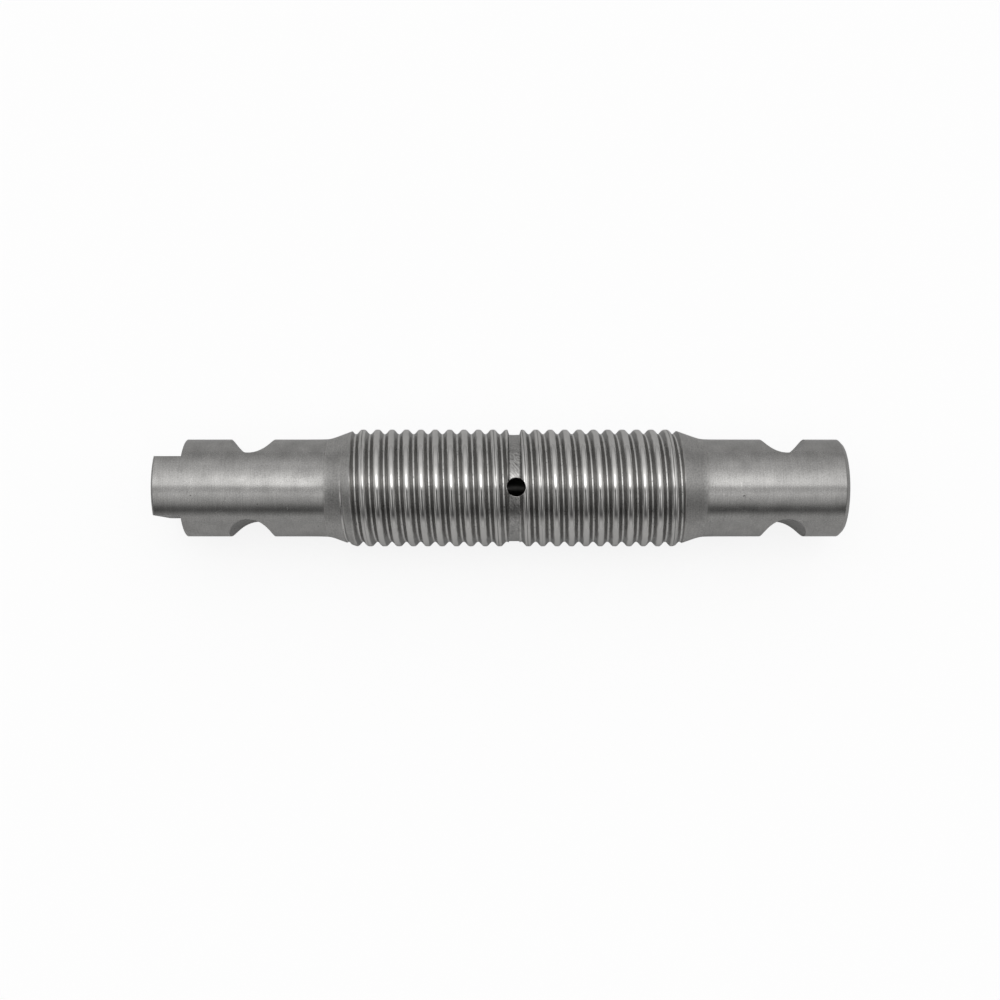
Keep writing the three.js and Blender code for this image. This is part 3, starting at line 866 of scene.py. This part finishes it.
def gallery_plug():
    """Headless taper plug with pipe thread and a chamfered hexagon socket that ends in a drill point."""
    floor_x = PLUG_OUTER_X + PLUG_SOCKET_DEPTH
    drill_radius = PLUG_SOCKET_FLATS / 2 - 0.05
    corner = PLUG_SOCKET_FLATS / math.sqrt(3)
    lead = 0.3
    rows = [(floor_x + 1, 0.15), (floor_x + 0.02, drill_radius), (floor_x, drill_radius + 0.02)]
    rows += [(x, hex_radii(PLUG_SOCKET_FLATS, SMALL_SIDES)) for x in (floor_x - 0.01, PLUG_OUTER_X + lead)]
    for inset in (0.2, 0.1, 0):
        grown = [max(r, corner + 0.12 - inset) for r in hex_radii(PLUG_SOCKET_FLATS, SMALL_SIDES)]
        rows.append((PLUG_OUTER_X + inset, grown))
    rows += [(PLUG_OUTER_X, corner + 0.2), (PLUG_OUTER_X, SHANK_RADIUS - 0.5)]
    rows += [(PLUG_OUTER_X + 0.08, SHANK_RADIUS - 0.4)]
    rows += pipe_thread(PLUG_OUTER_X + 0.4, PLUG_INNER_X - 0.3, SHANK_RADIUS, SHANK_TIP_RADIUS)
    rows += [(PLUG_INNER_X, SHANK_TIP_RADIUS - 0.45)]
    plug = turned("gallery_plug_oxide", rows, SMALL_SIDES)
    plug.data.materials.append(black_oxide())
    shade(plug, 28)
    return plug


def grease_fitting_ball():
    """Check ball, with the fine bright land that its seat has worn on it."""
    land_turn, land_half, land_depth = 37, 3.5, 0.006
    steps = 72
    rows = []
    for k in range(1, steps):
        turn = 180 - 180 / steps * k
        worn = ease(1 - abs(turn - land_turn) / land_half)
        r = BALL_RADIUS - land_depth * worn
        rows.append((BALL_X + r * math.cos(math.radians(turn)), r * math.sin(math.radians(turn))))
    ball = turned("grease_fitting_ball_steel", rows, FINE_SIDES)
    ball.data.materials.append(ball_steel())
    shade(ball)
    return ball


def grease_fitting_spring():
    """Round wire with its end turns closed, from the fitting's lip to the ball, and where its ends are."""
    around, per_turn = 12, 40
    wire = SPRING_WIRE_RADIUS
    gap_to_ball, gap_in_closed_turn = 0.05, 0.02
    start = SPRING_START_X + wire
    touch = math.sqrt((BALL_RADIUS + wire) ** 2 - SPRING_RADIUS ** 2)
    end = BALL_X - touch - gap_to_ball
    closed = 2 * wire + gap_in_closed_turn
    count = SPRING_TURNS * per_turn
    points = []
    for k in range(count + 1):
        turns = k / per_turn
        share = min(max((turns - 1) / (SPRING_TURNS - 2), 0), 1)
        x = start + closed * min(turns, 1) + (end - start - 2 * closed) * share
        x += closed * max(turns - (SPRING_TURNS - 1), 0)
        angle = TURN * turns
        out = Vector((0, math.cos(angle), math.sin(angle)))
        centre = out * SPRING_RADIUS + Vector((x, 0, 0))
        for j in range(around):
            t = TURN * j / around
            offset = out * math.cos(t) + Vector((1, 0, 0)) * math.sin(t)
            points.append(centre + offset * wire)
    spring = mesh_from("grease_fitting_spring_wire", points, skin(count + 1, around))
    spring.data.materials.append(spring_wire())
    shade(spring, 60)
    return spring, start - wire, end + wire


# Camera, floor and light

def camera():
    """Looks down at the pin from slightly towards -Y."""
    data = bpy.data.cameras.new("camera")
    data.sensor_width = 36
    data.lens = 50.9
    data.clip_start = 0.01
    eye = new_object("camera", data)
    tilt = math.radians(3.02)
    distance = 417.3
    aim_x, aim_y = -0.25, -3.55
    eye.location = Vector((aim_x, aim_y - distance * math.sin(tilt), distance * math.cos(tilt))) * MM
    eye.rotation_euler = (tilt, 0, 0)
    bpy.context.scene.camera = eye


# Brightness of the studio round the X axis: degrees from straight up towards +Y, and brightness there
STUDIO = [
    (-180, 0.36), (-90, 0.35), (-75, 0.37), (-67, 0.235), (-58, 0.09), (-50, 0.135), (-43, 0.28),
    (-35, 0.43), (-25, 0.56), (-18, 0.7), (-6, 0.5), (-1, 0.55), (4, 0.92), (8, 0.95), (16, 0.95),
    (22, 0.86), (30, 0.74), (42, 0.56), (55, 0.52), (69, 0.41), (84, 0.33), (100, 0.31), (180, 0.4),
]
# The same, in directions close to upright along the pin, with the camera's own dark reflection in it
STUDIO_MIDDLE = [
    (-180, 0.36), (-75, 0.37), (-67, 0.22), (-58, 0.06), (-50, 0.07), (-8, 0.1), (-3, 0.6), (2, 1.95),
    (18, 1.95), (24, 0.9), (42, 0.5), (55, 0.48), (69, 0.39), (84, 0.31), (180, 0.36),
]
# The same, in directions that lean towards either end of the pin
STUDIO_SIDES = [
    (-180, 0.42), (-110, 0.3), (-72, 0.2), (-57, 0.15), (-43, 0.14), (-29, 0.18), (-16, 0.22), (-6, 0.26),
    (2, 0.42), (12, 0.5), (23, 0.5), (43, 0.4), (57, 0.32), (72, 0.26), (90, 0.17), (110, 0.22),
    (180, 0.42),
]
# The share that each has, by the sine of a direction's lean towards either end: the middle, then the sides
MIDDLE_LEAN = [(0, 1), (0.09, 1), (0.12, 0), (1, 0)]
SIDES_LEAN = [(0, 0), (0.2, 0), (0.5, 1), (1, 1)]
# The share and brightness of the plain light beyond either end of the pin
ENDS_LEAN = [(0, 0), (0.9, 0), (0.985, 1), (1, 1)]
STUDIO_ENDS = 0.34
# The brightness that the ramps hold as 1, and the backdrop that the camera sees
STUDIO_TOP = 2.0
PALE = (0.94, 0.945, 0.95, 1)

# Floor: how far it reaches in metres, what lights the pin from it, and how the camera sees it
FLOOR_HALF_M = 3
FLOOR_GREY = (0.8, 0.8, 0.8, 1)
FLOOR_SEEN_GREY = (0.34, 0.34, 0.34, 1)
FLOOR_GLOW = 0.84


def value_ramp(tree, value, stops, top=1.0):
    """A color ramp of greys through (place, brightness) stops."""
    node = tree.nodes.new("ShaderNodeValToRGB")
    elements = node.color_ramp.elements
    elements.remove(elements[1])
    for k, (place, level) in enumerate(stops):
        element = elements[0] if k == 0 else elements.new(place)
        element.position = place
        element.color = (level / top, level / top, level / top, 1)
    tree.links.new(value, node.inputs[0])
    return node.outputs[0]


def studio():
    world = bpy.data.worlds.new("studio")
    bpy.context.scene.world = world
    world.use_nodes = True
    tree = world.node_tree
    link = tree.links.new

    def calculate(operation, *values):
        node = tree.nodes.new("ShaderNodeMath")
        node.operation = operation
        for k, value in enumerate(values):
            if isinstance(value, bpy.types.NodeSocket):
                link(value, node.inputs[k])
            else:
                node.inputs[k].default_value = value
        return node.outputs[0]

    direction = tree.nodes.new("ShaderNodeTexCoord").outputs["Generated"]
    split = tree.nodes.new("ShaderNodeSeparateXYZ")
    link(direction, split.inputs[0])
    x, y, z = split.outputs
    turn = calculate("MULTIPLY_ADD", calculate("ARCTAN2", y, z), 1 / TURN, 0.5)
    lean = calculate("ABSOLUTE", x)
    middle_share = value_ramp(tree, lean, MIDDLE_LEAN)
    sides_share = value_ramp(tree, lean, SIDES_LEAN)
    main_share = calculate("SUBTRACT", calculate("SUBTRACT", 1, middle_share), sides_share)
    level = 0.0
    for bands, share in ((STUDIO, main_share), (STUDIO_MIDDLE, middle_share), (STUDIO_SIDES, sides_share)):
        ramp = value_ramp(tree, turn, [(a / 360 + 0.5, brightness) for a, brightness in bands], STUDIO_TOP)
        level = calculate("MULTIPLY_ADD", calculate("MULTIPLY", ramp, share), STUDIO_TOP, level)
    ends_share = value_ramp(tree, lean, ENDS_LEAN)
    beyond = calculate("MULTIPLY", ends_share, STUDIO_ENDS)
    level = calculate("MULTIPLY_ADD", level, calculate("SUBTRACT", 1, ends_share), beyond)

    lit = tree.nodes["Background"]
    link(level, lit.inputs["Strength"])
    lit.inputs["Color"].default_value = (1, 1, 1, 1)
    seen = tree.nodes.new("ShaderNodeBackground")
    seen.inputs["Color"].default_value = PALE
    mix = tree.nodes.new("ShaderNodeMixShader")
    link(tree.nodes.new("ShaderNodeLightPath").outputs["Is Camera Ray"], mix.inputs[0])
    link(lit.outputs[0], mix.inputs[1])
    link(seen.outputs[0], mix.inputs[2])
    link(mix.outputs[0], tree.nodes["World Output"].inputs[0])


def floor():
    """A grey floor that the pin lies on, which the camera sees as nearly white with a faint shadow."""
    half = FLOOR_HALF_M / MM
    corners = [(-half, -half), (half, -half), (half, half), (-half, half)]
    plane = mesh_from("floor", [(x, y, PIN_LOW[2]) for x, y in corners], [[0, 1, 2, 3]])
    material = bpy.data.materials.new("pale_floor")
    material.use_nodes = True
    tree = material.node_tree
    tree.nodes.clear()
    link = tree.links.new
    diffuse = tree.nodes.new("ShaderNodeBsdfDiffuse")
    diffuse.inputs["Color"].default_value = FLOOR_GREY
    glow = tree.nodes.new("ShaderNodeEmission")
    glow.inputs["Color"].default_value = (1, 1, 1, 1)
    glow.inputs["Strength"].default_value = FLOOR_GLOW
    faint = tree.nodes.new("ShaderNodeBsdfDiffuse")
    faint.inputs["Color"].default_value = FLOOR_SEEN_GREY
    both = tree.nodes.new("ShaderNodeAddShader")
    mix = tree.nodes.new("ShaderNodeMixShader")
    link(faint.outputs[0], both.inputs[0])
    link(glow.outputs[0], both.inputs[1])
    link(tree.nodes.new("ShaderNodeLightPath").outputs["Is Camera Ray"], mix.inputs[0])
    link(diffuse.outputs[0], mix.inputs[1])
    link(both.outputs[0], mix.inputs[2])
    link(mix.outputs[0], tree.nodes.new("ShaderNodeOutputMaterial").inputs[0])
    plane.data.materials.append(material)


def place(piece, node, slot, body):
    """Hides the piece's CAD node and hangs the finished piece on the body that carries it; the slot
    argument is not used.
    """
    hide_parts(node)
    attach(piece, body)


place(threaded_pin(), "threaded_pin", "turned_steel", "pin")
place(gallery_plug(), "gallery_plug", "black_oxide_steel", "pin")
place(grease_fitting_body(), "grease_fitting_body", "zinc_plated_steel", "pin")
place(grease_fitting_ball(), "grease_fitting_ball", "polished_ball_steel", "check_ball")
spring, spring_start_x, spring_end_x = grease_fitting_spring()
place(spring, "grease_fitting_spring", "spring_steel", "pin")
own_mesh(spring)

camera()
floor()
studio()
bpy.context.scene.view_settings.view_transform = "Standard"
